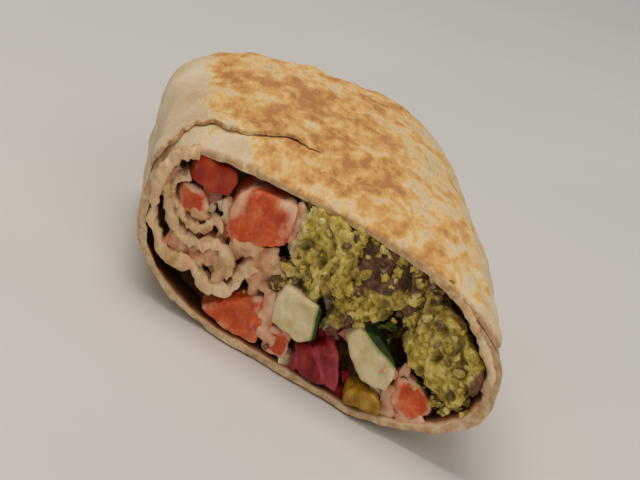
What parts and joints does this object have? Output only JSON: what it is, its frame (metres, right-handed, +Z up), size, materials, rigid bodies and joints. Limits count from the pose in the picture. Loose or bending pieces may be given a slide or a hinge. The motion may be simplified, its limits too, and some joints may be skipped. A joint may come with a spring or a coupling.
{
  "type": "falafel wrap",
  "caption": "Cut half of a griddled falafel wrap: folded flatbread round falafel, tomato, cucumber, red onion and creamy sauce, slantwise cut face open.",
  "frame": {"origin": "middle of the bounding box of the half wrap, at the level of its flat base", "axes": "+Y along the wrap towards its folded end, the slanted cut at -Y; +X towards the sharp tip of the cut; +Z up"},
  "size_m": [0.0801, 0.1599, 0.0436],
  "materials": {
    "flatbread": "matt, toasted on a griddle",
    "filling": "moist, creamy sauce on chopped salad",
    "tomato": "wet, cut",
    "cucumber": "wet, cut, skin on",
    "onion": "wet, cut",
    "pepper": "wet, pickled",
    "falafel": "crumbly, fried crust at the edges"
  },
  "bodies": {
    "root": {"tortilla": "flatbread", "mixed_filling": "filling", "tomato_top_left": "tomato", "tomato_small_left": "tomato", "tomato_center": "tomato", "tomato_low_left": "tomato", "tomato_low_mid": "tomato", "tomato_right": "tomato", "cucumber_left": "cucumber", "cucumber_right": "cucumber", "onion_red": "onion", "pepper_pickled": "pepper", "falafel_left": "falafel", "falafel_mid": "falafel", "falafel_right": "falafel", "falafel_top_right": "falafel"}
  },
  "joints": []
}
